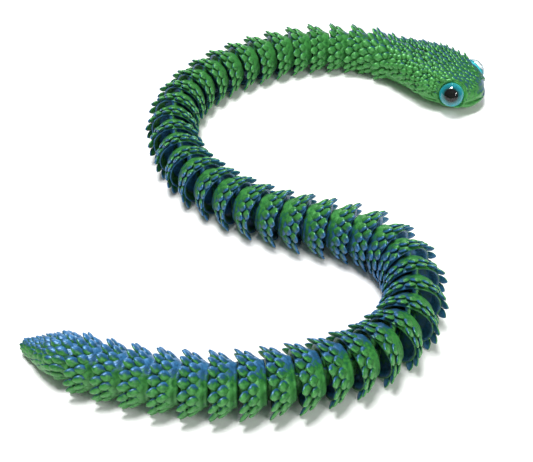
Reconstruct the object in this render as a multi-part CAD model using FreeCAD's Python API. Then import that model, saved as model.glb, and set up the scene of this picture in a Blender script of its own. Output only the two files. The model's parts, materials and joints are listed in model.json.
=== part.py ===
import FreeCAD, Part
import math
import os

# Articulated snake puzzle, printed in place: a head, a chain of links and a tail.
# Each piece carries a vertical pin in the cup at its rear, and the piece behind it
# turns on that pin with a loop on its nose. Millimetres, +Z up, belly on Z = 0.
# Every piece is drawn in its own frame: X runs back towards the tail and the body
# axis lies at axis_height above the belly. A link's own frame starts at its front pin.

Vec = FreeCAD.Vector

# Chain
link_count = 43
pitch = 10.5
bend_limit = 20.0
head_heading = 146.8
lie = (
    (1, 19.2), (1, 9.5), (3, 7.9), (3, 5.7), (2, 8.0), (2, 11.3), (2, 12.2), (4, 9.3),
    (3, 6.6), (2, 3.8), (1, -1.3), (1, -8.9), (1, -16.4), (2, -18.3), (3, -16.2), (1, -12.7),
    (1, -10.3), (1, -7.2), (2, -5.8), (5, -4.7), (2, -3.1), (1, -9.3),
)

# Girth of the body along the chain: (piece number, share of the full girth).
girth_stations = ((0, 0.92), (16, 0.93), (22, 0.95), (28, 1.0), (36, 1.0), (44, 0.84))
girth_step = 0.02

# Link shell, at full girth
nose_start = 0.9
nose_end = 2.6
flank_end = 4.6
flank_radius = 10.3
skirt_radius = 11.2
skirt_wall = 1.3
cup_root_radius = 7.8
cup_gap = 0.6
axis_height = 10.4
belly_wall = 1.2

# Pin and loop
pin_radius = 1.25
pin_seat_wall = 1.25
pin_seat_depth = 0.4
pin_end_cover = 0.2
loop_gap = 0.35
loop_wall = 1.6
loop_height = 10.0
joint_clearance = 0.4

# Scales, at full girth
scales_per_row = 12
scale_arc = 262.0
scale_width = 5.0
scale_keel = 1.0
scale_root = 0.8
scale_depth = 1.7
row_one_tip = (9.2, 13.2)
row_two_root = 7.6
tip_radius = 14.4
tip_nest = 0.7

# Neck and head
neck_row_step = 9.0
neck_length = 27.0
head_stations = (
    # (distance ahead of the pin, half width, underside, top)
    (17.0, 10.4, 0.2, 20.6), (24.0, 11.8, 0.2, 21.6), (30.5, 13.7, 0.2, 22.0),
    (36.0, 15.2, 0.2, 22.0), (41.3, 15.4, 0.2, 21.4), (47.2, 14.5, 0.3, 20.2),
    (52.2, 13.2, 0.4, 18.2), (57.2, 11.2, 0.7, 15.4), (61.5, 8.5, 1.3, 12.4),
    (64.4, 4.8, 2.8, 9.2),
)
section_points = 20
section_power = 2.4
crest_rows = 5
crest_start = 26.0
crest_step = 4.6
crest_scales = 7
crest_arc = 130.0
crest_size = (3.6, 2.2, 3.0)
fine_keel = 0.5
fine_root = 1.0
fine_depth = 1.6

# Eyes
eye_ahead = 51.9
eye_height = 11.0
eye_offset = 11.6
eye_tilt = 15.0
eye_turn = 12.0
eye_diameter = 12.0
eye_edge = 1.0
eye_rise = 4.2
iris_thickness = 0.8
eye_gap = 0.1
socket_wall = 1.2
socket_lip = 0.8
socket_root = 4.0
socket_flare = 2.0
socket_clear = 10.0

# Tail
collar_end = 9.0
tail_stations = (
    # (distance behind the pin, half width, underside, top)
    (5.0, 7.8, 0.6, 15.4), (9.0, 8.0, 0.0, 15.6), (13.5, 7.0, 0.0, 13.8),
    (18.0, 5.4, 0.0, 11.2), (22.5, 3.9, 0.0, 8.4), (26.5, 2.7, 0.0, 6.0),
    (29.3, 1.8, 0.2, 4.5), (31.0, 1.0, 0.9, 3.5),
)
tail_rows = 6
tail_row_start = 8.0
tail_row_step = 3.8
tail_scales = 7
tail_arc = 200.0
tail_size = (3.4, 1.1, 4.0)
tail_shrink = 0.1


def turned(point, axis, angle, centre=Vec(0, 0, 0)):
    """Return a point or direction turned about an axis by an angle in degrees."""
    return FreeCAD.Rotation(axis, angle).multVec(point - centre) + centre


def between(value, table):
    """Return the straight-line value of a table of (place, value) at a place."""
    for (low, first), (high, last) in zip(table, table[1:]):
        if value <= high:
            share = (value - low) / (high - low)
            return first + (last - first) * share
    return table[-1][1]


def nose_radius(girth):
    """Return the radius at which a nose clears the floor of the cup that it enters."""
    return axis_height * girth - belly_wall - joint_clearance


def clear_reach(radius):
    """Return how far behind a pin a piece may reach at a radius, bent to the limit.

    The outline of the link behind is turned about the pin by the limit, towards
    this side, and the reach is the joint clearance short of it.
    """
    angle = math.radians(bend_limit)
    outline = (
        (nose_start, nose_radius(1)), (nose_end, nose_radius(1)), (flank_end, flank_radius),
        (0.5 * (flank_end + row_one_tip[0]), 0.5 * (flank_radius + row_one_tip[1]) + scale_keel),
        row_one_tip,
    )
    swung = []
    for along, out in outline:
        ahead = along * math.cos(angle) - out * math.sin(angle)
        aside = along * math.sin(angle) + out * math.cos(angle)
        swung.append((aside, ahead))
    return between(radius, swung) - joint_clearance


def revolved(profile, height):
    """Return the solid of a (distance, radius) outline turned about the body axis."""
    points = [Vec(along, 0, height + radius) for along, radius in profile]
    points.append(points[0])
    face = Part.Face(Part.makePolygon(points))
    return face.revolve(Vec(0, 0, height), Vec(1, 0, 0), 360)


def above(solid, level):
    """Return the part of a solid above a level, so that a belly is flat."""
    box = solid.BoundBox
    block = Part.makeBox(
        box.XLength + 2, box.YLength + 2, box.ZMax + 2 - level,
        Vec(box.XMin - 1, box.YMin - 1, level),
    )
    return solid.common(block)


def leaf(base, back, out, size, keel, root, depth):
    """Return one keeled scale: a root in the shell, two shoulders, a keel and a tip."""
    length, rise, width = size
    side = back.cross(out)
    front = base - back * root - out * root
    left = base + back * (0.45 * length) + out * (0.4 * rise) - side * (0.5 * width)
    right = left + side * width
    ridge = base + back * (0.35 * length) + out * (0.35 * rise + keel)
    tip = base + back * length + out * rise
    under = base + back * (0.5 * length) + out * (0.5 * rise - depth)
    faces = []
    for a, b in ((front, left), (left, tip), (tip, right), (right, front)):
        faces.append(Part.Face(Part.makePolygon([a, b, ridge, a])))
        faces.append(Part.Face(Part.makePolygon([b, a, under, b])))
    solid = Part.Solid(Part.Shell(faces))
    if solid.Volume < 0:
        solid.reverse()
    return solid


def ring(count, arc, along, radius, height, size, girth):
    """Return a row of scales round the body axis, clear of the belly."""
    row = []
    for number in range(count):
        angle = arc * (number / (count - 1) - 0.5)
        out = turned(Vec(0, 0, 1), Vec(-1, 0, 0), angle)
        base = Vec(along, 0, height) + out * radius
        row.append(leaf(base, Vec(1, 0, 0), out, size, scale_keel * girth, scale_root * girth,
                        scale_depth * girth))
    return row


def row_pair(girth, shift=0.0):
    """Return the two staggered rows of scales that every link carries."""
    height = axis_height * girth
    step = scale_arc / (scales_per_row - 1)
    width = scale_width * girth
    first_size = (row_one_tip[0] - flank_end, (row_one_tip[1] - flank_radius) * girth, width)
    tip = pitch + clear_reach(tip_radius) + tip_nest
    second_root = 0.5 * (flank_radius + skirt_radius)
    second_size = (tip - row_two_root, (tip_radius - second_root) * girth, width)
    row = ring(scales_per_row - 1, scale_arc - step, flank_end + shift, flank_radius * girth,
               height, first_size, girth)
    row += ring(scales_per_row, scale_arc, row_two_root + shift, second_root * girth,
                height, second_size, girth)
    return row


def rear_cup(girth):
    """Return the space of the cup at a link's rear, above the belly wall."""
    rim = pitch + clear_reach(skirt_radius)
    cup_start = pitch - pin_radius - loop_gap - loop_wall - cup_gap
    mouth = (skirt_radius - skirt_wall) * girth
    inner_rim = pitch + clear_reach(skirt_radius - skirt_wall)
    profile = (
        (cup_start, 0), (cup_start, cup_root_radius * girth), (inner_rim, mouth),
        (rim + 0.1, skirt_radius * girth + 0.1), (rim + pitch, skirt_radius * girth + 0.1),
        (rim + pitch, 0),
    )
    return above(revolved(profile, axis_height * girth), belly_wall)


def pin_with_seats(girth):
    """Return the vertical pin of a cup, with its seats in the belly and the roof."""
    top = (axis_height + skirt_radius) * girth
    seat = pin_radius + pin_seat_wall
    roof = (axis_height + skirt_radius - skirt_wall) * girth
    pin = Part.makeCylinder(pin_radius, top - 2 * pin_end_cover, Vec(pitch, 0, pin_end_cover))
    foot = Part.makeCylinder(seat, belly_wall, Vec(pitch, 0, 0))
    cap = Part.makeCylinder(seat, top - roof, Vec(pitch, 0, roof - pin_seat_depth))
    return [pin, foot, cap]


def nose_loop(girth):
    """Return the loop on a nose, and the bore through the nose that clears the pin ahead."""
    height = axis_height * girth
    bore_radius = pin_radius + loop_gap
    outer = Part.makeCylinder(bore_radius + loop_wall, loop_height,
                              Vec(0, 0, height - 0.5 * loop_height))
    bore = Part.makeCylinder(bore_radius, 2 * height)
    return outer, bore


def link(girth):
    """Return one link: flank, skirt and cup, pin, loop and two rows of scales."""
    rim = pitch + clear_reach(skirt_radius)
    profile = (
        (nose_start, 0), (nose_start, nose_radius(girth)), (nose_end, nose_radius(girth)),
        (flank_end, flank_radius * girth), (rim, skirt_radius * girth), (rim, 0),
    )
    shell = above(revolved(profile, axis_height * girth), 0)
    shell = shell.cut(rear_cup(girth))
    outer, bore = nose_loop(girth)
    body = shell.multiFuse(pin_with_seats(girth) + row_pair(girth) + [outer])
    return body.cut(bore)


def section(along, half_width, low, high):
    """Return a rounded section of the head or the tail across the body axis."""
    points = []
    middle = 0.5 * (low + high)
    for number in range(section_points):
        angle = 2 * math.pi * (number + 0.5) / section_points
        across = math.copysign(abs(math.cos(angle)) ** (2 / section_power), math.cos(angle))
        upward = math.copysign(abs(math.sin(angle)) ** (2 / section_power), math.sin(angle))
        points.append(Vec(along, half_width * across, middle + 0.5 * (high - low) * upward))
    points.append(points[0])
    return Part.makePolygon(points)


def lofted(stations, direction):
    """Return the solid through a list of sections, ahead of or behind the pin."""
    wires = [section(direction * along, *rest) for along, *rest in stations]
    return Part.makeLoft(wires, True, True)


def surface_row(stations, direction, along, count, arc, size):
    """Return a row of small scales round a lofted body at one station."""
    widths = [(place, half) for place, half, low, high in stations]
    lows = [(place, low) for place, half, low, high in stations]
    highs = [(place, high) for place, half, low, high in stations]
    half, low, high = between(along, widths), between(along, lows), between(along, highs)
    row = []
    for number in range(count):
        angle = math.radians(arc * (number / (count - 1) - 0.5))
        out = Vec(0, math.sin(angle) / half, math.cos(angle) / (0.5 * (high - low)))
        out.normalize()
        base = Vec(direction * along, half * math.sin(angle),
                   0.5 * (low + high) + 0.5 * (high - low) * math.cos(angle))
        row.append(leaf(base, Vec(1, 0, 0), out, size, fine_keel, fine_root, fine_depth))
    return row


def eye_frame(side):
    """Return the middle of an eye's seat and the way the eye looks."""
    look = turned(Vec(0, side, 0), Vec(side, 0, 0), eye_tilt)
    look = turned(look, Vec(0, 0, 1), side * eye_turn)
    return Vec(-eye_ahead, side * eye_offset, eye_height), look


def dome(side):
    """Return a glass eye: a short round edge under a dome, flat behind."""
    seat, look = eye_frame(side)
    radius = 0.5 * eye_diameter
    ball = (radius ** 2 + eye_rise ** 2) / (2 * eye_rise)
    base = seat + look * iris_thickness
    edge = Part.makeCylinder(radius, eye_edge, base, look)
    centre = base + look * (eye_edge + eye_rise - ball)
    column = Part.makeCylinder(radius, eye_rise, base + look * eye_edge, look)
    return edge.fuse(Part.makeSphere(ball, centre).common(column))


def iris(side):
    """Return the printed iris disc that lies behind a glass eye."""
    seat, look = eye_frame(side)
    return Part.makeCylinder(0.5 * eye_diameter, iris_thickness, seat, look)


def head():
    """Return the head and neck: skull, eye sockets, neck scales, cup and pin."""
    girth = between(0, girth_stations)
    rim = clear_reach(skirt_radius)
    profile = (
        (-neck_length, 0), (-neck_length, nose_radius(girth)),
        (flank_end - pitch - neck_row_step, flank_radius * girth), (rim, skirt_radius * girth),
        (rim, 0),
    )
    back = Vec(-pitch, 0, 0)
    shell = above(revolved(profile, axis_height * girth), 0)
    skull = lofted(head_stations, -1)
    pieces = [skull] + row_pair(girth, -pitch) + row_pair(girth, -pitch - neck_row_step)
    for number in range(crest_rows):
        ahead = crest_start + number * crest_step
        pieces += surface_row(head_stations, -1, ahead, crest_scales - number % 2,
                              crest_arc, crest_size)
    for side in (-1, 1):
        seat, look = eye_frame(side)
        boss = 0.5 * eye_diameter + eye_gap + socket_wall
        depth = socket_root + iris_thickness + socket_lip
        pieces.append(Part.makeCone(boss + socket_flare, boss, depth,
                                    seat - look * socket_root, look))
    body = shell.multiFuse(pieces)
    cup = rear_cup(girth)
    cup.translate(back)
    body = body.cut(cup)
    pins = pin_with_seats(girth)
    for piece in pins:
        piece.translate(back)
    body = body.multiFuse(pins)
    for side in (-1, 1):
        seat, look = eye_frame(side)
        body = body.cut(Part.makeCylinder(0.5 * eye_diameter + eye_gap, socket_clear, seat, look))
    return above(body, 0)


def tail():
    """Return the tail: nose and loop, tapering body and rows of low scales."""
    girth = between(link_count + 1, girth_stations)
    profile = (
        (nose_start, 0), (nose_start, nose_radius(girth)), (nose_end, nose_radius(girth)),
        (flank_end, flank_radius * girth), (collar_end, flank_radius * girth), (collar_end, 0),
    )
    shell = above(revolved(profile, axis_height * girth), 0)
    outer, bore = nose_loop(girth)
    pieces = [lofted(tail_stations, 1), outer]
    for number in range(tail_rows):
        behind = tail_row_start + number * tail_row_step
        shrink = 1 - tail_shrink * number
        size = tuple(value * shrink for value in tail_size)
        pieces += surface_row(tail_stations, 1, behind, tail_scales - number % 2, tail_arc, size)
    body = shell.multiFuse(pieces)
    return above(body.cut(bore), 0)


def joint_angles():
    """Return the bend at each joint in order, from the head to the tail."""
    angles = []
    for count, angle in lie:
        angles += [angle] * count
    return angles


def piece_frames():
    """Return the (pin place, heading) of the head, the links and the tail."""
    place = Vec(0, 0, 0)
    heading = head_heading
    frames = [(place, heading)]
    for angle in joint_angles():
        heading += angle
        frames.append((place, heading))
        place = place + turned(Vec(pitch, 0, 0), Vec(0, 0, 1), heading)
    return frames


def placed(solid, frame, shift=Vec(0, 0, 0)):
    """Return a copy of a solid moved from its own frame to its place in the chain."""
    place, heading = frame
    copy = solid.copy()
    copy.Placement = FreeCAD.Placement(place + shift, FreeCAD.Rotation(Vec(0, 0, 1), heading))
    return copy


def assembly():
    """Return every node's solid by name, with the box middle over the origin."""
    frames = piece_frames()
    made = {"head": (head(), frames[0])}
    for name, side in (("left", -1), ("right", 1)):
        made[name + "_eye_dome"] = (dome(side), frames[0])
        made[name + "_iris"] = (iris(side), frames[0])
    sizes = {}
    for number in range(1, link_count + 1):
        girth = round(between(number, girth_stations) / girth_step) * girth_step
        if girth not in sizes:
            sizes[girth] = link(girth)
        made["link_%02d" % number] = (sizes[girth], frames[number])
    made["tail"] = (tail(), frames[link_count + 1])
    everything = FreeCAD.BoundBox()
    for solid, frame in made.values():
        everything.add(placed(solid, frame).BoundBox)
    centre = everything.Center
    shift = Vec(-centre.x, -centre.y, 0)
    return {name: placed(solid, frame, shift) for name, (solid, frame) in made.items()}


def main():
    """Write one STEP file for each node."""
    os.makedirs("parts", exist_ok=True)
    for name, solid in assembly().items():
        solid.exportStep("parts/%s.step" % name)


main()
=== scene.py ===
"""Looks of an articulated snake puzzle, printed in place from two-tone silk PLA.

Every piece is drawn in millimetres in its own frame: X runs back towards the tail,
+Z is up and the belly lies on Z = 0. A link's frame starts at its front pin, and the
head's at the pin in its rear cup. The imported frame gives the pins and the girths.
"""

import json
import logging
import math
import random
from dataclasses import dataclass, field
from enum import Enum
from functools import lru_cache
from typing import Any, Callable, ClassVar, Sequence

import bmesh
import bpy
from bmesh.types import BMesh
from bpy.types import Material, Mesh, Node, NodeSocket, NodeTree, Object
from mathutils import Matrix, Vector


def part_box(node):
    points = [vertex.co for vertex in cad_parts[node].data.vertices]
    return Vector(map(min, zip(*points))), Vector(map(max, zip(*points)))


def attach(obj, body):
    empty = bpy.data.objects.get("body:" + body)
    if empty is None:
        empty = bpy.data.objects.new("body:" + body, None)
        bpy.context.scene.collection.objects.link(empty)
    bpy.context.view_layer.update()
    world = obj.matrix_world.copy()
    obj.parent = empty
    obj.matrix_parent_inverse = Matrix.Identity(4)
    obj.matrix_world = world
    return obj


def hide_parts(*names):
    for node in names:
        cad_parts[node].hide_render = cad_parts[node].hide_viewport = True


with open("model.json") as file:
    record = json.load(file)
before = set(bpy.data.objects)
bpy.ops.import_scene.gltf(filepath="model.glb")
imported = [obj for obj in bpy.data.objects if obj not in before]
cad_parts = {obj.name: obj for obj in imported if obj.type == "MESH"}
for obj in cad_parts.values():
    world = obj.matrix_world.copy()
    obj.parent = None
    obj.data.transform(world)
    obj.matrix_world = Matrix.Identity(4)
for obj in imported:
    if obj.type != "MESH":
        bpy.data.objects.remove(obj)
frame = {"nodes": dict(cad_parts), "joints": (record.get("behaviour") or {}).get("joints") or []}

Pair = tuple[float, float]
Triple = tuple[float, float, float]

LOG = logging.getLogger("snake")
MM = 0.001
UP = Vector((0.0, 0.0, 1.0))
BACK = Vector((1.0, 0.0, 0.0))
WAVE_PERIOD = 0.31416  # spacing of the wave texture's bands at scale 1
WELD = 1e-5  # vertices nearer than this are made one, in mm


# ---------------------------------------------------------------- numbers and colours


def linear(hex_colour: str) -> tuple[float, float, float, float]:
    """Turn an sRGB colour, written "#rrggbb", to linear red, green, blue and full alpha."""
    channels = [int(hex_colour[start:start + 2], 16) / 255.0 for start in (1, 3, 5)]
    red, green, blue = (value / 12.92 if value <= 0.04045 else ((value + 0.055) / 1.055) ** 2.4
                        for value in channels)
    return red, green, blue, 1.0


def ease(value: float, low: float, high: float) -> float:
    """Return 0 below low, 1 above high and a smooth rise between them."""
    share = min(1.0, max(0.0, (value - low) / (high - low)))
    return share * share * (3.0 - 2.0 * share)


def bump(offset: float, width: float) -> float:
    """Return a round bump of height 1 at no offset, fading over a width."""
    return math.exp(-(offset / width) ** 2)


def along_table(value: float, table: Sequence[Sequence[float]]) -> list[float]:
    """Read a table of stations smoothly.

    Args:
        value: place to read at.
        table: rows of (place, value, value, ...) in rising order of place.

    Returns:
        The values at the place, without a kink at any station.
    """
    value = min(max(value, table[0][0]), table[-1][0])
    last = len(table) - 2
    index = next((i for i in range(last + 1) if value <= table[i + 1][0]), last)
    rows = [table[max(0, index - 1)], table[index], table[index + 1],
            table[min(last + 1, index + 2)]]
    t = (value - rows[1][0]) / (rows[2][0] - rows[1][0])
    result = []
    for before, start, end, after in zip(*(row[1:] for row in rows)):
        leave, arrive = 0.5 * (end - before), 0.5 * (after - start)
        result.append((2 * t ** 3 - 3 * t ** 2 + 1) * start + (t ** 3 - 2 * t ** 2 + t) * leave
                      + (3 * t ** 2 - 2 * t ** 3) * end + (t ** 3 - t ** 2) * arrive)
    return result


# ---------------------------------------------------------------- materials


def add_node(tree: NodeTree, kind: str, settings: dict[str, Any] | None = None,
             inputs: dict[Any, Any] | None = None) -> Node:
    """Add a node with its settings, values and links.

    Args:
        tree: node tree that gets the node.
        kind: Blender's type name of the node.
        settings: properties of the node by name.
        inputs: values, or output sockets to link from, by the input's name or number.

    Returns:
        The new node.
    """
    node = tree.nodes.new(kind)
    for name, value in (settings or {}).items():
        setattr(node, name, value)
    for key, value in (inputs or {}).items():
        if isinstance(value, NodeSocket):
            tree.links.new(value, node.inputs[key])
        else:
            node.inputs[key].default_value = value
    return node


def new_material(name: str) -> tuple[Material, NodeTree]:
    """Return a new material and its node tree, emptied."""
    material = bpy.data.materials.new(name)
    material.use_nodes = True
    material.node_tree.nodes.clear()
    return material, material.node_tree


def fill_ramp(node: Node, stops: Sequence[tuple[float, str]]) -> None:
    """Set the stops of a colour ramp.

    Args:
        node: colour ramp node.
        stops: rows of (position, sRGB hex colour) in rising order of position.
    """
    elements = node.color_ramp.elements
    while len(elements) < len(stops):
        elements.new(0.5)
    for element, (position, colour) in zip(elements, stops):
        element.position = position
        element.color = linear(colour)


def add_surface(tree: NodeTree, inputs: dict[Any, Any]) -> None:
    """Add a principled shader with its inputs, and the material's output after it."""
    shader = add_node(tree, "ShaderNodeBsdfPrincipled", None, inputs)
    add_node(tree, "ShaderNodeOutputMaterial", None, {"Surface": shader.outputs["BSDF"]})


@dataclass(frozen=True)
class SilkPrint:
    """Two-tone silk PLA, FDM printed: each bead shows green on one side, blue on the other.

    The eye sees a pearly, half-metallic gloss, the tone turning with the way a face
    looks, and fine level layer lines.
    """

    name: str = "silk_pla_two_tone_fdm"
    green: str = "#1f6b2f"
    green_light: str = "#3f9040"
    blue: str = "#1b5078"
    blue_light: str = "#2f73a8"
    stops: tuple[float, ...] = (0.0, 0.28, 0.62, 1.0)
    metallic: float = 0.3
    roughness: float = 0.38
    coat: float = 0.12
    coat_roughness: float = 0.3
    sheen: float = 0.05
    layer_mm: float = 0.34  # real layers are 0.2 mm; drawn coarser so that they show
    layer_relief_mm: float = 0.05
    layer_strength: float = 0.55
    mottle_mm: float = 1.6
    mottle: float = 1.5  # how far the noise may push the tone either way, doubled

    def build(self) -> Material:
        """Return the material, read from each piece's tone attribute."""
        material, tree = new_material(self.name)
        place = add_node(tree, "ShaderNodeTexCoord").outputs["Object"]
        tone = add_node(tree, "ShaderNodeAttribute", {"attribute_name": "tone"}).outputs["Fac"]
        mottle = add_node(tree, "ShaderNodeTexNoise", {"noise_dimensions": "3D"}, {
            "Vector": place, "Scale": 1.0 / (self.mottle_mm * MM), "Detail": 3.0,
            "Roughness": 0.6}).outputs["Fac"]
        spread = add_node(tree, "ShaderNodeMath", {"operation": "MULTIPLY_ADD"},
                          {0: mottle, 1: self.mottle, 2: -0.5 * self.mottle}).outputs[0]
        mixed = add_node(tree, "ShaderNodeMath", {"operation": "ADD", "use_clamp": True},
                         {0: tone, 1: spread}).outputs[0]
        ramp = add_node(tree, "ShaderNodeValToRGB", None, {"Fac": mixed})
        colours = (self.green_light, self.green, self.blue, self.blue_light)
        fill_ramp(ramp, list(zip(self.stops, colours)))
        lines = add_node(tree, "ShaderNodeTexWave", {
            "wave_type": "BANDS", "bands_direction": "Z", "wave_profile": "SIN"}, {
            "Vector": place, "Scale": WAVE_PERIOD / (self.layer_mm * MM), "Distortion": 0.4,
            "Detail": 1.0, "Detail Scale": 0.4}).outputs["Fac"]
        relief = add_node(tree, "ShaderNodeBump", None, {
            "Strength": self.layer_strength, "Distance": self.layer_relief_mm * MM,
            "Height": lines})
        add_surface(tree, {
            "Base Color": ramp.outputs["Color"], "Metallic": self.metallic,
            "Roughness": self.roughness, "Normal": relief.outputs["Normal"],
            "Coat Weight": self.coat, "Coat Roughness": self.coat_roughness,
            "Sheen Weight": self.sheen})
        return material


@dataclass(frozen=True)
class DomeGlass:
    """Clear cast glass, fire polished: a bright hard highlight and a lens over the iris."""

    name: str = "clear_glass_polished"
    tint: str = "#f4fbfb"
    ior: float = 1.5
    haze_mm: float = 2.0
    roughest: float = 0.03

    def build(self) -> Material:
        """Return the material."""
        material, tree = new_material(self.name)
        place = add_node(tree, "ShaderNodeTexCoord").outputs["Object"]
        haze = add_node(tree, "ShaderNodeTexNoise", None, {
            "Vector": place, "Scale": 1.0 / (self.haze_mm * MM), "Detail": 2.0}).outputs["Fac"]
        rough = add_node(tree, "ShaderNodeMapRange", None, {
            "Value": haze, "To Min": 0.0, "To Max": self.roughest}).outputs["Result"]
        add_surface(tree, {"Base Color": linear(self.tint), "Roughness": rough,
                           "IOR": self.ior, "Transmission Weight": 1.0})
        return material


@dataclass(frozen=True)
class IrisPrint:
    """Glossy printed card behind the glass: teal fibres round a black round pupil."""

    name: str = "iris_card_gloss_print"
    teal: str = "#1593a4"
    deep: str = "#0a4b4a"
    edge: str = "#3fb9bd"
    pupil: str = "#020303"
    pupil_reach: float = 0.4  # the pupil's radius, as a share of the disc's
    fibre_scale: float = 14.0
    fibre_shade: Pair = (0.7, 1.15)
    roughness: float = 0.3
    specular: float = 0.1
    painted_light_glow: float = 0.35  # painted light: a faint glow in the card's own colour, standing for the light that the dome gathers on the card

    def build(self) -> Material:
        """Return the material, read from the disc's own radius and fibre attributes."""
        material, tree = new_material(self.name)
        reach, turn = (add_node(tree, "ShaderNodeAttribute", {
            "attribute_name": name}).outputs["Fac"] for name in ("reach", "turn"))
        fibre_place = add_node(tree, "ShaderNodeCombineXYZ", None, {"X": turn, "Y": reach})
        fibres = add_node(tree, "ShaderNodeTexNoise", None, {
            "Vector": fibre_place.outputs[0], "Scale": self.fibre_scale,
            "Detail": 3.0}).outputs["Fac"]
        ramp = add_node(tree, "ShaderNodeValToRGB", None, {"Fac": reach})
        fill_ramp(ramp, ((0.0, self.pupil), (self.pupil_reach, self.pupil), (0.46, self.deep),
                         (0.68, self.teal), (0.97, self.edge)))
        shade = add_node(tree, "ShaderNodeMapRange", None, {
            "Value": fibres, "From Min": 0.3, "From Max": 0.7, "To Min": self.fibre_shade[0],
            "To Max": self.fibre_shade[1]})
        colour = add_node(tree, "ShaderNodeVectorMath", {"operation": "SCALE"}, {
            0: ramp.outputs["Color"], "Scale": shade.outputs["Result"]})
        # painted light: the card also gives off its own colour as a faint glow
        add_surface(tree, {
            "Base Color": colour.outputs[0], "Roughness": self.roughness,
            "Specular IOR Level": self.specular, "Emission Color": colour.outputs[0],
            "Emission Strength": self.painted_light_glow})
        return material


@dataclass(frozen=True)
class StudioPaper:
    """Matt white seamless paper under the toy."""

    name: str = "studio_paper_matt"
    white: str = "#fbfbfb"
    roughness: float = 0.9

    def build(self) -> Material:
        """Return the material."""
        material, tree = new_material(self.name)
        add_surface(tree, {"Base Color": linear(self.white), "Roughness": self.roughness})
        return material


class Finish(Enum):
    """The finishes on the toy, each with the record's slot that it stands for."""

    SILK = "silk_pla"
    GLASS = "eye_glass"
    IRIS = "iris_print"


class Side(Enum):
    """Left or right of the head, as the sign of its Y."""

    LEFT = -1
    RIGHT = 1


# ---------------------------------------------------------------- mesh helpers


def revolve(bm: BMesh, points: Sequence[Vector], steps: int, axis: Vector = UP,
            height: float = 0.0, ring: bool = False) -> None:
    """Add a surface of revolution.

    Args:
        bm: mesh that gets it.
        points: points of its profile.
        steps: divisions of the full turn.
        axis: direction of its axis.
        height: height at which the axis crosses the middle.
        ring: whether the last point joins the first one, as in the section of a ring.
    """
    verts = [bm.verts.new(point) for point in points]
    pairs = zip(verts[-1:] + verts, verts) if ring else zip(verts, verts[1:])
    edges = [bm.edges.new(pair) for pair in pairs]
    bmesh.ops.spin(bm, geom=verts + edges, cent=(0.0, 0.0, height), axis=axis, angle=math.tau,
                   steps=steps, use_merge=True)


def finish_mesh(bm: BMesh, name: str) -> Mesh:
    """Close a bmesh into a named mesh with outward, smooth-shaded faces."""
    bmesh.ops.remove_doubles(bm, verts=bm.verts, dist=WELD)
    bmesh.ops.recalc_face_normals(bm, faces=bm.faces)
    mesh = bpy.data.meshes.new(name)
    bm.to_mesh(mesh)
    bm.free()
    mesh.shade_smooth()
    return mesh


def level_belly(bm: BMesh) -> None:
    """Cut everything below Z = 0 away and close the flat belly."""
    cut = bmesh.ops.bisect_plane(bm, geom=bm.verts[:] + bm.edges[:] + bm.faces[:],
                                 plane_co=(0.0, 0.0, 0.0), plane_no=-UP, clear_outer=True)
    edges = [part for part in cut["geom_cut"] if isinstance(part, bmesh.types.BMEdge)]
    bmesh.ops.holes_fill(bm, edges=edges)


@lru_cache(maxsize=None)
def ball(sides: int, rings: int) -> tuple[list[Vector], list[list[int]]]:
    """Return the points and faces of a round ball of radius 1, with its poles on Z."""
    bm = bmesh.new()
    bmesh.ops.create_uvsphere(bm, u_segments=sides, v_segments=rings, radius=1.0)
    bm.verts.index_update()
    points = [vert.co.copy() for vert in bm.verts]
    faces = [[vert.index for vert in face.verts] for face in bm.faces]
    bm.free()
    return points, faces


def press(bm: BMesh, sides: int, rings: int,
          shape: Callable[[Vector], Vector]) -> None:
    """Add a ball to a mesh, pressed to a shape.

    Args:
        bm: mesh that gets it.
        sides: divisions round the ball.
        rings: divisions from pole to pole.
        shape: gives a point of the ball its place on the piece.
    """
    points, faces = ball(sides, rings)
    verts = [bm.verts.new(shape(point)) for point in points]
    for face in faces:
        bm.faces.new([verts[index] for index in face])


@dataclass
class Scale:
    """One plump keeled scale, a few dozen faces, pressed from a ball. Lengths are in mm."""

    length: float
    rise: float  # how far the tip stands off the skin
    width: float
    keel: float = 1.25  # height of the ridge along the back
    depth: float = 0.9  # how far the underside bulges
    root: float = 1.2  # how far the scale reaches ahead of its base, into the skin
    blunt: float = 0.75  # the less, the rounder the ends of the leaf
    curl: float = 0.85  # below 1, the scale rises early and levels off
    skew: float = 1.25  # above 1, the widest place lies beyond the middle
    edge: float = 1.7  # the more, the narrower the ridge
    sunk: float = 0.3  # how deep the root lies
    sides: int = 10
    rings: int = 8

    def grow(self, bm: BMesh, base: Vector, out: Vector,
             back: Vector = BACK) -> None:
        """Add the scale to a mesh.

        Args:
            bm: mesh that gets it.
            base: where its root leaves the skin.
            out: direction away from the skin.
            back: direction its tip points along the skin.
        """
        side = out.cross(back).normalized()
        reach = self.length + self.root

        def shape(point: Vector) -> Vector:
            share = 0.5 * (1.0 - point.z)
            ring = math.hypot(point.x, point.y)
            across, lift = (point.x / ring, point.y / ring) if ring > 1e-6 else (0.0, 0.0)
            leaf = math.sin(math.pi * share ** self.skew) ** self.blunt if ring > 1e-6 else 0.0
            tall = math.sin(math.pi * share) ** 0.5 if ring > 1e-6 else 0.0
            height = tall * (self.keel * lift ** self.edge if lift > 0 else self.depth * lift)
            travel = share * reach - self.root
            climb = self.rise * max(0.0, travel / self.length) ** self.curl
            return (base + back * travel + side * (across * 0.5 * self.width * leaf)
                    + out * (climb + height - self.sunk * (1.0 - share)))

        press(bm, self.sides, self.rings, shape)


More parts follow.
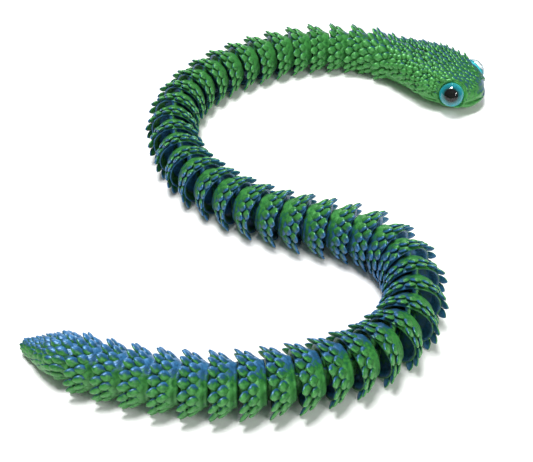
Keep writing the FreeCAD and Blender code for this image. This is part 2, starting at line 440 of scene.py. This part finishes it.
@dataclass
class Piece:
    """A printed piece: where it lies, and the share of each tone on its faces."""

    name: str
    pin: Vector
    heading: float
    girth: float
    blue_turn: float
    blue_lift: float
    # how squarely a face looks to the blue side, where green ends and where blue is full
    TONE_SPAN: ClassVar[Pair] = (-0.35, 0.95)

    def place(self) -> Matrix:
        """Return the matrix from the piece's own frame in mm to the row frame."""
        return (Matrix.Translation(self.pin) @ Matrix.Rotation(self.heading, 4, "Z")
                @ Matrix.Scale(MM, 4))

    def show(self, mesh: Mesh, finish: Finish, body: str,
             nodes: Sequence[str]) -> Object:
        """Put a mesh in the scene as an object that rides on a body.

        Args:
            mesh: finished mesh in the piece's own frame.
            finish: finish it gets.
            body: CAD body it rides on.
            nodes: CAD nodes it stands for.

        Returns:
            The new object.
        """
        mesh.transform(self.place())
        piece = bpy.data.objects.new(mesh.name, mesh)
        bpy.context.scene.collection.objects.link(piece)
        piece.data.materials.append(MATERIALS[finish])
        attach(piece, body)
        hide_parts(*nodes)
        LOG.info("%s: %d faces", piece.name, len(mesh.polygons))
        return piece

    def tint(self, mesh: Mesh) -> None:
        """Write the tone attribute: 0 for green faces, 1 for blue ones."""
        toward = Vector((math.cos(self.blue_turn), math.sin(self.blue_turn), self.blue_lift))
        toward.normalize()
        tone = mesh.attributes.new("tone", "FLOAT", "POINT")
        for vert, slot in zip(mesh.vertices, tone.data):
            slot.value = ease(vert.normal.dot(toward), *self.TONE_SPAN)


MATERIALS: dict[Finish, Material] = {}


# ---------------------------------------------------------------- links


@dataclass
class Link(Piece):
    """One link: flank, skirt and cup, two staggered rows of scales, loop and pin.

    Points of the outline are (distance back, radius about the body axis) at full girth.
    """

    pitch: float = 10.5
    axis_height: float = 10.4
    nose_start: float = 1.7  # clear of the pin ahead
    nose_end: float = 2.6
    nose_drop: float = 1.6  # how much less the nose's radius is than the axis's height
    nose_chamfer: float = 0.5
    nose_ramp: Pair = (0.8, 0.4)
    nose_crown: float = 0.5  # how much higher the roof of the nose is than its sides
    crown_span: Pair = (6.0, 8.0)  # radii where the crown starts and is full
    crown_end: float = 1.0  # the crown stops this far ahead of the flank's end
    flank_end: float = 4.6
    flank_radius: float = 10.3
    swell: tuple[Pair, ...] = ((5.1, 10.45), (8.0, 10.8))
    skirt_radius: float = 11.2
    rim: float = 10.85
    edge_round: Pair = (0.3, 0.2)  # of the flank's foot and of the rim
    mouth: Pair = (10.0, 9.9)
    cup_waist: Pair = (8.4, 8.9)
    cup_start: float = 6.75
    cup_radius: float = 7.8
    cup_round: Pair = (0.2, 0.5)
    hood_start: float = 9.5
    hood: float = 1.1  # how much further the roof of the skirt reaches than its sides
    pin_radius: float = 1.25
    pin_foot: float = 0.5
    pin_cover: float = 0.6  # how far the pin's top goes into the skirt
    loop_gap: float = 0.35
    loop_wall: float = 1.6
    loop_height: float = 10.0
    row_one: Triple = (5.2, 9.8, 12.9)  # root, root radius, tip radius
    row_two: Triple = (8.5, 10.5, 14.2)
    row_tips: Pair = (9.3, 12.8)
    scales_per_row: int = 12
    scale_arc: float = 262.0
    scale_width: float = 4.8
    tip_margin: float = 0.2
    turn_jitter: float = 0.8  # degrees
    least_stretch: float = 0.95
    steps: int = 64
    pin_steps: int = 24
    loop_steps: int = 32
    dice: random.Random = field(default_factory=lambda: random.Random(7))

    def nose_outline(self) -> list[Pair]:
        """Return the outline of the nose, from the body axis to the foot of the flank."""
        nose = self.axis_height - self.nose_drop / self.girth
        return [(self.nose_start, 0.0), (self.nose_start, nose - self.nose_chamfer),
                (self.nose_start + self.nose_chamfer, nose), (self.nose_end, nose),
                (self.nose_end + self.nose_ramp[0], nose + self.nose_ramp[1])]

    def turn_body(self, bm: BMesh, outline: Sequence[Pair]) -> float:
        """Add the body that an outline gives at this girth, and return its axis's height."""
        height = self.axis_height * self.girth
        points = [Vector((back, 0.0, height + radius * self.girth)) for back, radius in outline]
        revolve(bm, points, self.steps, BACK, height)
        return height

    def shell(self, bm: BMesh, shift: float = 0.0) -> None:
        """Add the flank, skirt and cup as one closed shell with a flat belly."""
        outline = self.nose_outline() + [
            (self.flank_end - self.edge_round[0], self.flank_radius - self.edge_round[1]),
            *self.swell,
            (self.rim - self.edge_round[0], self.skirt_radius),
            (self.rim, self.skirt_radius - self.edge_round[1]),
            self.mouth, self.cup_waist,
            (self.cup_start + self.cup_round[0], self.cup_radius),
            (self.cup_start, self.cup_radius - self.cup_round[1]), (self.cup_start, 0.0),
        ]
        height = self.turn_body(bm, outline)
        for vert in bm.verts:
            around = Vector((0.0, vert.co.y, vert.co.z - height))
            roof = max(0.0, around.z / max(around.length, 1.0)) ** 2
            if vert.co.x > self.hood_start:
                share = (vert.co.x - self.hood_start) / (self.rim - self.hood_start)
                vert.co.x += self.hood * roof * share
            elif vert.co.x < self.flank_end - self.crown_end:
                vert.co += around.normalized() * (self.nose_crown * roof * ease(
                    around.length, *self.crown_span))
            vert.co.x += shift
        bmesh.ops.remove_doubles(bm, verts=bm.verts, dist=WELD)
        level_belly(bm)

    def rows(self, bm: BMesh, shift: float = 0.0) -> None:
        """Add the two staggered rows of scales, clear of the belly."""
        step = self.scale_arc / (self.scales_per_row - 1)
        plan = ((self.row_one, self.row_tips[0], self.scales_per_row - 1),
                (self.row_two, self.row_tips[1], self.scales_per_row))
        for (root, low, high), tip, count in plan:
            for number in range(count):
                angle = math.radians(step * (number - 0.5 * (count - 1)))
                angle += math.radians(self.dice.uniform(-self.turn_jitter, self.turn_jitter))
                out = Vector((0.0, math.sin(angle), math.cos(angle)))
                base = Vector((root + shift, 0.0, self.axis_height * self.girth))
                stretch = self.dice.uniform(self.least_stretch, 1.0)
                scale = Scale(length=(tip - root) * stretch,
                              rise=(high - low - self.tip_margin) * self.girth * stretch,
                              width=self.scale_width * self.girth)
                scale.grow(bm, base + out * (low * self.girth), out)

    def pin_post(self, bm: BMesh, shift: float = 0.0) -> None:
        """Add the vertical pin that stands in the rear cup."""
        low = self.pin_foot
        high = (self.axis_height + self.mouth[1]) * self.girth + self.pin_cover
        middle = Matrix.Translation((self.pitch + shift, 0.0, 0.5 * (low + high)))
        bmesh.ops.create_cone(bm, cap_ends=True, segments=self.pin_steps,
                              radius1=self.pin_radius, radius2=self.pin_radius,
                              depth=high - low, matrix=middle)

    def nose_loop(self, bm: BMesh) -> None:
        """Add the loop on the nose, a ring of square section round the pin ahead."""
        inner = self.pin_radius + self.loop_gap
        outer = inner + self.loop_wall
        middle = self.axis_height * self.girth
        low, high = middle - 0.5 * self.loop_height, middle + 0.5 * self.loop_height
        corners = ((inner, low), (outer, low), (outer, high), (inner, high))
        revolve(bm, [Vector((radius, 0.0, height)) for radius, height in corners],
                self.loop_steps, ring=True)

    def make(self) -> Object:
        """Build the link, tint it and put it in the scene."""
        bm = bmesh.new()
        self.shell(bm)
        self.pin_post(bm)
        self.nose_loop(bm)
        self.rows(bm)
        mesh = finish_mesh(bm, self.name + "_print")
        self.tint(mesh)
        return self.show(mesh, Finish.SILK, self.name, [self.name])


# ---------------------------------------------------------------- head


@dataclass
class Skin:
    """The skin of a head or tail: sections along the body, read by station and angle."""

    stations: Sequence[Sequence[float]]
    direction: float  # -1 runs ahead of the pin, 1 behind it
    power: float = 2.3  # 2 gives round sections, more gives squarer ones
    start_closing: float = 1.5

    def point(self, along: float, angle: float, closing: float = 1.0) -> Vector:
        """Return the skin's point.

        Args:
            along: distance from the pin.
            angle: angle about the body axis from the top, positive to +Y.
            closing: share of the section's full size, for rounded ends.

        Returns:
            The point in the piece's own frame.
        """
        half, low, high = along_table(along, self.stations)
        across, upward = math.sin(angle), math.cos(angle)
        across = math.copysign(abs(across) ** (2 / self.power), across)
        upward = math.copysign(abs(upward) ** (2 / self.power), upward)
        middle = 0.5 * (low + high)
        return Vector((self.direction * along, half * across * closing,
                       middle + 0.5 * (high - low) * upward * closing))

    def out(self, along: float, angle: float, step: float = 0.5, turn: float = 0.03) -> Vector:
        """Return the direction straight out of the skin, read over a small step and turn."""
        ahead = self.point(along + step, angle) - self.point(along - step, angle)
        around = self.point(along, angle + turn) - self.point(along, angle - turn)
        return (ahead.cross(around) * self.direction).normalized()

    def girth(self, along: float) -> float:
        """Return the mean radius of the section at a station."""
        half, low, high = along_table(along, self.stations)
        return 0.5 * (half + 0.5 * (high - low))

    def body(self, bm: BMesh, start: float, end: float, sides: int, rings: int,
             rounding: float, shape: Callable[[Vector, float, float], Vector]) -> None:
        """Add the closed body between two stations, pressed from a ball.

        Args:
            bm: mesh that gets it.
            start: station of the end inside the toy.
            end: station of the free end.
            sides: divisions round the body.
            rings: divisions along it.
            rounding: length over which the free end rounds off.
            shape: gives a point its final place from the plain point, station and angle.
        """
        def place(point: Vector) -> Vector:
            share = 0.5 * (1.0 - point.z)
            along = start + (end - start) * share
            angle = math.atan2(point.x, point.y)
            from_end = min(1.0, (end - along) / rounding)
            from_start = min(1.0, (along - start) / self.start_closing)
            closing = math.sqrt(max(0.0, 1 - (1 - from_end) ** 2)) * math.sqrt(from_start)
            return shape(self.point(along, angle, closing), along, angle)

        press(bm, sides, rings, place)


@dataclass(frozen=True)
class Swelling:
    """A soft swelling on each side of the head; lengths in mm from the pin and the ground."""

    along: float
    height: float
    spread_along: float
    spread_height: float
    amount: float
    upward: float  # how much it lifts for each mm that it widens
    flank: Pair  # distances from the middle where it starts and is full

    def swell(self, point: Vector, along: float) -> Vector:
        """Return a point of the skin, moved by the swelling."""
        side = math.copysign(1.0, point.y)
        share = bump(along - self.along, self.spread_along)
        share *= bump(point.z - self.height, self.spread_height)
        share *= ease(abs(point.y), *self.flank)
        return point + Vector((0.0, side, self.upward)) * (self.amount * share)


@dataclass
class Head(Link):
    """The head and neck: skull, brow, mouth, nostrils, sockets, scales, crest and a cup."""

    stations: Sequence[Sequence[float]] = (
        # (distance ahead of the pin, half width, height of the underside, height of the top)
        (8.0, 9.2, 0.2, 19.0), (17.0, 10.2, 0.2, 20.2), (24.0, 11.6, 0.2, 21.0),
        (30.5, 13.5, 0.2, 21.3), (36.0, 15.0, 0.2, 21.3), (41.3, 15.2, 0.2, 20.8),
        (47.2, 14.3, 0.3, 19.6), (52.2, 13.0, 0.5, 17.7), (57.2, 11.1, 0.8, 15.2),
        (61.0, 8.7, 1.4, 12.6), (63.7, 6.8, 2.0, 11.0),
    )
    neck: float = 8.0
    snout: float = 63.7
    snout_rounding: float = 5.0
    skull_sides: int = 184
    skull_rings: int = 110
    neck_row_step: float = 9.0
    mouth_height: float = 5.8
    mouth_back: float = 34.0
    mouth_fade: float = 5.0
    mouth_rise: float = 1.6  # how much higher the mouth line is at the snout
    mouth_rise_span: Pair = (46.0, 65.0)
    mouth_cut: Pair = (1.6, 0.65)  # depth and width of the line
    lip: Triple = (0.45, 1.5, 0.8)  # swell, height over the line, width
    chin: Triple = (0.8, 1.6, 1.1)  # swell, height below it, width
    nostril: Triple = (-61.6, 6.4, 9.0)
    nostril_size: float = 1.0
    nostril_depth: float = 1.1
    socket_radius: float = 6.5
    socket_wall: float = 0.3  # half the width of the step at the socket's edge
    socket_floor: float = 0.4
    rim_centre: float = 0.9  # from the socket's edge out to the crown of its raised rim
    rim_width: float = 0.8
    rim_reach: float = 2.4
    scales_end: float = 16.0
    scale_spacing: Pair = (1.75, 1.05)  # at the snout, and added on the neck
    scale_reach: Pair = (104.0, 16.0)  # degrees from the top, likewise
    coarse_span: Pair = (28.0, 58.0)
    bare_lip: float = 2.6
    crest_start: float = 29.0
    crest_step: float = 3.1
    crest_spikes: int = 7
    lip_start: float = 60.5
    lip_step: float = 3.2
    lip_scales: int = 9
    brow: Swelling = Swelling(51.9, 18.6, 7.5, 2.2, 1.3, 0.6, (4.0, 9.0))
    cheek: Swelling = Swelling(40.0, 9.0, 6.0, 5.0, 0.7, 0.0, (6.0, 11.0))
    eye_seat: Vector = field(default_factory=Vector)
    eye_look: Vector = field(default_factory=Vector)

    def eye(self, side: float) -> tuple[Vector, Vector]:
        """Return the seat of one side's eye and the way it looks."""
        seat, look = self.eye_seat, self.eye_look
        return Vector((seat.x, side * seat.y, seat.z)), Vector((look.x, side * look.y, look.z))

    def with_mouth(self, point: Vector, along: float, outward: Vector) -> Vector:
        """Return a point of the skin after the mouth line, lip and chin are pressed in."""
        if along <= self.mouth_back:
            return point
        side = math.copysign(1.0, point.y)
        line = self.mouth_height + self.mouth_rise * ease(along, *self.mouth_rise_span)
        depth = ease(along, self.mouth_back, self.mouth_back + self.mouth_fade)
        flank = ease(abs(point.y), 1.0, 3.0) if along < 60.0 else 1.0
        gap = point.z - line
        cut, cut_width = self.mouth_cut
        lip, lip_height, lip_width = self.lip
        chin, chin_drop, chin_width = self.chin
        point = point - outward * (cut * depth * flank * bump(gap, cut_width))
        point = point + outward * (lip * depth * bump(gap - lip_height, lip_width))
        return point + Vector((-0.3, side * flank, 0.0)) * (
            chin * depth * bump(gap + chin_drop, chin_width))

    def with_socket(self, point: Vector) -> Vector:
        """Return a point of the skin after the eye socket and its rim are pressed in."""
        seat, look = self.eye(math.copysign(1.0, point.y))
        offset = point - seat
        height = offset.dot(look)
        past = (offset - look * height).length - self.socket_radius
        if past < self.rim_reach and height > -6.0:
            inside = 1.0 - ease(past, -self.socket_wall, self.socket_wall)
            rim = bump(past - self.rim_centre, self.rim_width)
            point = point - look * (inside * (height + self.socket_floor))
            point = point + look * (rim * max(0.0, 1.6 - 0.6 * height) * 0.6)
        return point

    def pressed(self, point: Vector, along: float, angle: float) -> Vector:
        """Press the mouth line, lips, brows, nostrils and eye sockets into the skull."""
        outward = Vector((0.0, math.sin(angle), math.cos(angle)))
        point = self.brow.swell(self.with_mouth(point, along, outward), along)
        back, across, height = self.nostril
        nostril = Vector((back, math.copysign(across, point.y), height))
        dent = bump((point - nostril).length, self.nostril_size)
        point = self.cheek.swell(point - outward * (self.nostril_depth * dent), along)
        return self.with_socket(point)

    def socket_clear(self, point: Vector) -> bool:
        """Return whether a point lies clear of both eye sockets."""
        seat, look = self.eye(math.copysign(1.0, point.y))
        offset = point - seat
        away = (offset - look * offset.dot(look)).length
        return away > self.socket_radius + self.rim_centre

    def fine_scales(self, bm: BMesh, skin: Skin) -> None:
        """Cover the skull and neck with overlapping fine scales, larger to the rear."""
        along = self.snout - self.snout_rounding + 0.8
        row = 0
        while along > self.scales_end:
            big = 1.0 - ease(along, *self.coarse_span)
            spacing = self.scale_spacing[0] + self.scale_spacing[1] * big
            reach = math.radians(self.scale_reach[0] + self.scale_reach[1] * big)
            count = int(2 * reach * skin.girth(along) * 1.12 / spacing)
            for number in range(count + 1):
                angle = -reach + 2 * reach * (number + 0.5 * (row % 2)) / (count + 0.5)
                station = along + self.dice.uniform(-0.3, 0.3)
                angle += self.dice.uniform(-0.02, 0.02)
                base = self.pressed(skin.point(station, angle), station, angle)
                if not self.socket_clear(base) or base.z < self.mouth_height + self.bare_lip:
                    continue
                on_top = big * bump(angle, 1.1)
                size = self.dice.uniform(0.7, 1.25)
                scale = Scale(length=(2.3 + 0.9 * big) * size,
                              rise=(0.7 + 0.5 * big + 0.7 * on_top) * size,
                              width=spacing * 1.3 * size, keel=0.75 + 0.3 * big, depth=0.5,
                              root=0.7, blunt=0.85, sides=8, rings=6)
                scale.grow(bm, base, skin.out(station, angle))
            along -= spacing * 0.98
            row += 1

    def side_row(self, bm: BMesh, skin: Skin, start: float, step: float, turns: Sequence[float],
                 scale: Callable[[int], Scale]) -> None:
        """Set one row of scales along each side of the head.

        Args:
            bm: mesh that gets them.
            skin: skin that they stand on.
            start: station of the first scale.
            step: distance from one scale to the next, positive to the snout.
            turns: degrees from the top, for each scale.
            scale: gives the scale for its number in the row.
        """
        for side in Side:
            for number, turn in enumerate(turns):
                along = start + step * number
                angle = side.value * math.radians(turn)
                base = self.pressed(skin.point(along, angle), along, angle)
                scale(number).grow(bm, base, skin.out(along, angle))

    def crest(self, bm: BMesh, skin: Skin) -> None:
        """Set standing spikes along each side of the crown, behind the eye."""
        middle = self.crest_spikes // 2
        turns = [42.0 + 0.5 * number for number in range(self.crest_spikes)]
        self.side_row(bm, skin, self.crest_start, self.crest_step, turns, lambda number: Scale(
            length=2.8, rise=2.6 - 0.15 * abs(number - middle), width=2.6, keel=0.8, depth=0.6,
            root=0.9, blunt=1.0, sides=8, rings=6))

    def lips(self, bm: BMesh, skin: Skin) -> None:
        """Set long flat scales along each upper lip."""
        turns = [113.0] * self.lip_scales
        self.side_row(bm, skin, self.lip_start, -self.lip_step, turns, lambda number: Scale(
            length=3.4, rise=0.15, width=2.4, keel=0.45, depth=0.5, root=0.6))

    def make(self) -> Object:
        """Build the head, tint it and put it in the scene."""
        bm = bmesh.new()
        self.shell(bm, -self.pitch)
        self.pin_post(bm, -self.pitch)
        self.rows(bm, -self.pitch)
        self.rows(bm, -self.pitch - self.neck_row_step)
        skin = Skin(self.stations, -1.0)
        skin.body(bm, self.neck, self.snout, self.skull_sides, self.skull_rings,
                  self.snout_rounding, self.pressed)
        self.fine_scales(bm, skin)
        self.crest(bm, skin)
        self.lips(bm, skin)
        mesh = finish_mesh(bm, "head_print")
        self.tint(mesh)
        return self.show(mesh, Finish.SILK, "head", ["head"])


@dataclass
class Eye:
    """A glass cabochon with its iris disc, seated in one side of the head."""

    side: Side
    head: Head
    radius: float = 6.0
    iris_thickness: float = 0.8
    iris_gap: float = 0.1  # how much less the iris's radius is than the glass's
    contact: float = 0.05  # the print goes this far into the glass, so that no air is between
    edge: float = 1.0
    chamfer: float = 0.25
    rise: float = 4.2
    dome_rings: int = 14
    dome_steps: int = 64
    iris_rings: int = 16
    iris_steps: int = 96
    fibre_turns: float = 3.0

    def turned(self) -> Matrix:
        """Return the matrix from the eye's own frame, looking along +Z, to the head's."""
        seat, look = self.head.eye(self.side.value)
        return Matrix.Translation(seat) @ look.to_track_quat("Z", "Y").to_matrix().to_4x4()

    def dome_mesh(self, name: str) -> Mesh:
        """Return the glass: flat back, short polished edge and a round dome."""
        sphere = (self.radius ** 2 + self.rise ** 2) / (2 * self.rise)
        centre = self.iris_thickness + self.edge + self.rise - sphere
        start = math.asin(self.radius / sphere)
        back = self.iris_thickness
        profile = [Vector((0.0, 0.0, back)), Vector((self.radius - self.chamfer, 0.0, back)),
                   Vector((self.radius, 0.0, back + self.chamfer))]
        for number in range(self.dome_rings + 1):
            angle = start * (1 - number / self.dome_rings)
            profile.append(Vector((sphere * math.sin(angle), 0.0,
                                   centre + sphere * math.cos(angle))))
        bm = bmesh.new()
        revolve(bm, profile, self.dome_steps)
        return finish_mesh(bm, name)

    def iris_mesh(self, name: str) -> Mesh:
        """Return the iris disc, with its radius and turn as attributes."""
        radius, top = self.radius - self.iris_gap, self.iris_thickness + self.contact
        profile = [Vector(), BACK * radius, BACK * radius + UP * self.iris_thickness]
        profile += [BACK * (radius * (1 - number / self.iris_rings)) + UP * top
                    for number in range(self.iris_rings + 1)]
        bm = bmesh.new()
        revolve(bm, profile, self.iris_steps)
        mesh = finish_mesh(bm, name)
        reach = mesh.attributes.new("reach", "FLOAT", "POINT")
        turn = mesh.attributes.new("turn", "FLOAT", "POINT")
        for vert, far, way in zip(mesh.vertices, reach.data, turn.data):
            far.value = math.hypot(vert.co.x, vert.co.y) / self.radius
            way.value = abs(math.atan2(vert.co.y, vert.co.x)) / math.pi * self.fibre_turns
        return mesh

    def make(self) -> None:
        """Build the dome and the iris and put them in the scene."""
        word = self.side.name.lower()
        for label, build, finish in (("eye_dome", self.dome_mesh, Finish.GLASS),
                                     ("iris", self.iris_mesh, Finish.IRIS)):
            mesh = build(f"{word}_{label}_cast")
            mesh.transform(self.turned())
            self.head.show(mesh, finish, "head", [f"{word}_{label}"])


# ---------------------------------------------------------------- tail


@dataclass
class Tail(Link):
    """The tail: a nose like a link's, a bulging root and a cone of low barky scales."""

    row_one: Triple = (3.8, 8.6, 11.2)
    row_two: Triple = (7.0, 8.7, 10.6)
    row_tips: Pair = (8.8, 12.4)
    nose_ramp: Pair = (0.8, 0.2)
    stations: Sequence[Sequence[float]] = (
        # (distance behind the pin, half width, height of the underside, height of the top)
        (4.0, 7.0, 0.8, 14.2), (8.5, 8.0, 0.0, 15.3), (13.0, 7.3, 0.0, 14.0),
        (17.5, 5.8, 0.0, 11.4), (22.0, 4.3, 0.0, 8.7), (26.0, 3.1, 0.0, 6.4),
        (28.6, 2.3, 0.1, 5.0), (30.6, 1.8, 0.4, 4.1),
    )
    root: float = 4.0
    tip: float = 30.6
    tip_rounding: float = 3.0
    section_power: float = 2.1
    cone_sides: int = 72
    cone_rings: int = 60
    collar_radius: float = 9.2
    collar_end: float = 7.5
    plug: Pair = (9.5, 7.9)  # the collar's inner end, hidden in the cone
    bark_start: float = 9.0
    bark_end: float = 3.4  # the last row starts at least this far from the tip
    bark_reach: float = 118.0  # degrees from the top
    bark_spacing: Pair = (2.9, 1.3)  # at the root, and taken off at the tip
    bark_floor: float = 2.0

    def nose(self, bm: BMesh) -> None:
        """Add the front flank that turns under the last link's skirt."""
        outline = self.nose_outline() + [
            (self.flank_end, self.collar_radius), (self.collar_end, self.collar_radius),
            self.plug, (self.plug[0], 0.0)]
        self.turn_body(bm, outline)
        bmesh.ops.remove_doubles(bm, verts=bm.verts, dist=WELD)
        level_belly(bm)

    def bark(self, bm: BMesh, skin: Skin) -> None:
        """Lay long flattened scales over the back and flanks, finer to the tip."""
        along = self.bark_start
        reach = math.radians(self.bark_reach)
        row = 0
        while along < self.tip - self.bark_end:
            fine = ease(along, 6.0, self.tip)
            spacing = self.bark_spacing[0] - self.bark_spacing[1] * fine
            count = max(3, int(2 * reach * skin.girth(along) / spacing))
            for number in range(count + 1):
                angle = -reach + 2 * reach * (number + 0.5 * (row % 2)) / (count + 0.5)
                station = along + self.dice.uniform(-0.5, 0.5)
                base = skin.point(station, angle)
                if base.z < self.bark_floor:
                    continue
                size = self.dice.uniform(0.85, 1.15)
                scale = Scale(length=(4.4 - 1.8 * fine) * size, rise=(0.35 - 0.3 * fine) * size,
                              width=spacing * 1.25 * size, keel=0.7 - 0.3 * fine, depth=0.5,
                              root=0.8, blunt=0.55, sides=8, rings=6)
                scale.grow(bm, base, skin.out(station, angle))
            along += spacing * 0.95
            row += 1

    def make(self) -> Object:
        """Build the tail, tint it and put it in the scene."""
        bm = bmesh.new()
        self.nose(bm)
        self.nose_loop(bm)
        self.rows(bm)
        skin = Skin(self.stations, 1.0, self.section_power)
        skin.body(bm, self.root, self.tip, self.cone_sides, self.cone_rings,
                  self.tip_rounding, lambda point, along, angle: point)
        self.bark(bm, skin)
        level_belly(bm)
        mesh = finish_mesh(bm, "tail_print")
        self.tint(mesh)
        return self.show(mesh, Finish.SILK, "tail", ["tail"])


# ---------------------------------------------------------------- chain and studio


@dataclass
class Chain:
    """The whole toy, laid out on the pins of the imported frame."""

    full_height: float = 24.49  # of a piece at full girth
    eye_depth: float = 0.4  # from the middle of the iris's surface back to its seat
    blue_stations: Sequence[Sequence[float]] = (
        # (piece number, degrees from tailward to the blue side, lift of the blue side)
        (0, -90.0, 0.2), (4, -60.0, 0.0), (10, -55.0, -0.1), (16, -45.0, -0.1),
        (22, -40.0, 0.0), (28, -70.0, 0.0), (34, -85.0, 0.5), (44, -90.0, 0.9),
    )

    def pins(self) -> list[Vector]:
        """Return every joint's pin on the ground, from the head to the tail."""
        places = [Vector(joint["pos_m"]) for joint in frame["joints"]]
        return [Vector((place.x, place.y, 0.0)) for place in places]

    def centre(self, node: str) -> Vector:
        """Return the middle of a CAD node's surface, weighted by area."""
        total, weight = Vector(), 0.0
        for face in frame["nodes"][node].data.polygons:
            total += face.center * face.area
            weight += face.area
        return total / weight

    def heading(self, start: Vector, end: Vector) -> float:
        """Return the direction from one place to another about +Z."""
        return math.atan2(end.y - start.y, end.x - start.x)

    def girth(self, node: str) -> float:
        """Return a link's girth, as a share of the fullest one's."""
        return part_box(node)[1].z / MM / self.full_height

    def blue(self, number: int) -> Pair:
        """Return the way of the blue side of a piece, and its lift."""
        turn, lift = along_table(number, self.blue_stations)
        return math.radians(turn), lift

    def make(self) -> None:
        """Build the head with its eyes, every link and the tail."""
        pins = self.pins()
        links = sorted(name for name in frame["nodes"] if name.startswith("link_"))
        eyes = [self.centre(side.name.lower() + "_iris") for side in Side]
        middle = (eyes[0] + eyes[1]) * 0.5
        facing = self.heading(middle, pins[0])
        own = Matrix.Rotation(-facing, 4, "Z") @ Matrix.Translation(-pins[0])
        seats = [own @ place / MM for place in eyes]
        head = Head("head", pins[0], facing, self.girth(links[0]), *self.blue(0))
        sides = [own.to_3x3() @ self.eye_axis(side.name.lower() + "_iris") for side in Side]
        look = sides[1] if sides[1].y > 0 else -sides[1]
        head.eye_look = look
        seat = Vector((seats[1].x, abs(seats[1].y), seats[1].z))
        head.eye_seat = seat - look * self.eye_depth
        head.make()
        for side in Side:
            Eye(side, head).make()
        for number, name in enumerate(links, start=1):
            ahead, behind = pins[number - 1], pins[number]
            Link(name, ahead, self.heading(ahead, behind), self.girth(name),
                 *self.blue(number), dice=random.Random(number)).make()
        last = pins[-1]
        Tail("tail", last, self.heading(last, self.centre("tail")), self.girth(links[-1]),
             *self.blue(len(links) + 1)).make()

    def eye_axis(self, node: str) -> Vector:
        """Return the way a flat round CAD disc looks, from its largest faces."""
        faces = sorted(frame["nodes"][node].data.polygons, key=lambda face: -face.area)
        axis = faces[0].normal.copy()
        outward = self.centre(node) - self.centre("head")
        return axis if axis.dot(outward) > 0 else -axis


@dataclass
class Studio:
    """Pale floor, soft light and the camera."""

    elevation: float = 44.7
    distance: float = 461.3
    target: Pair = (-6.7, -17.0)
    lens: float = 69.8
    floor_half: float = 3000.0
    room: float = 0.2
    # name, place in metres, side in metres, power in watts
    lamps: tuple[tuple[str, Triple, float, float], ...] = (
        ("key_softbox", (-0.15, 0.15, 1.3), 0.5, 23.0),
        ("fill_softbox", (0.5, -0.6, 0.6), 0.3, 3.0),
        ("rim_softbox", (0.1, 1.0, 0.5), 0.4, 3.0),
    )

    def floor(self) -> None:
        """Lay the seamless paper."""
        bm = bmesh.new()
        bmesh.ops.create_grid(bm, x_segments=1, y_segments=1, size=self.floor_half * MM)
        mesh = bpy.data.meshes.new("studio_floor")
        bm.to_mesh(mesh)
        bm.free()
        floor = bpy.data.objects.new("studio_floor", mesh)
        floor.data.materials.append(StudioPaper().build())
        bpy.context.scene.collection.objects.link(floor)

    def lamp(self, name: str, place: Vector, size: float, power: float) -> None:
        """Hang one square soft box that looks at the toy.

        Args:
            name: name of the lamp.
            place: where it hangs, in metres.
            size: length of its side, in metres.
            power: its power in watts.
        """
        data = bpy.data.lights.new(name, "AREA")
        data.size = size
        data.energy = power
        lamp = bpy.data.objects.new(name, data)
        lamp.location = place
        lamp.rotation_mode = "QUATERNION"
        lamp.rotation_quaternion = (-place).to_track_quat("-Z", "Y")
        bpy.context.scene.collection.objects.link(lamp)

    def sky(self) -> None:
        """Fill the room with even pale light."""
        world = bpy.data.worlds.new("studio_room")
        world.use_nodes = True
        world.node_tree.nodes.clear()
        light = add_node(world.node_tree, "ShaderNodeBackground", None,
                         {"Color": (1.0, 1.0, 1.0, 1.0), "Strength": self.room})
        add_node(world.node_tree, "ShaderNodeOutputWorld", None,
                 {"Surface": light.outputs["Background"]})
        bpy.context.scene.world = world

    def camera(self) -> None:
        """Set the camera at the viewing angle."""
        data = bpy.data.cameras.new("camera")
        data.lens = self.lens
        data.clip_end = 20.0
        camera = bpy.data.objects.new("camera", data)
        tilt = math.radians(self.elevation)
        middle = Vector((self.target[0] * MM, self.target[1] * MM, 0.0))
        camera.location = middle + Vector((0.0, -math.cos(tilt), math.sin(tilt))) * (
            self.distance * MM)
        camera.rotation_euler = (math.pi / 2 - tilt, 0.0, 0.0)
        bpy.context.scene.collection.objects.link(camera)
        bpy.context.scene.camera = camera

    def make(self) -> None:
        """Set up the floor, lamps, room and camera."""
        self.floor()
        for name, place, size, power in self.lamps:
            self.lamp(name, Vector(place), size, power)
        self.sky()
        self.camera()
        bpy.context.scene.view_settings.view_transform = "Standard"


def main() -> None:
    """Build the toy and the studio."""
    logging.basicConfig(level=logging.INFO, format="%(name)s %(message)s")
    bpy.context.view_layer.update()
    MATERIALS[Finish.SILK] = SilkPrint().build()
    MATERIALS[Finish.GLASS] = DomeGlass().build()
    MATERIALS[Finish.IRIS] = IrisPrint().build()
    Chain().make()
    Studio().make()


if __name__ == "__main__":
    main()
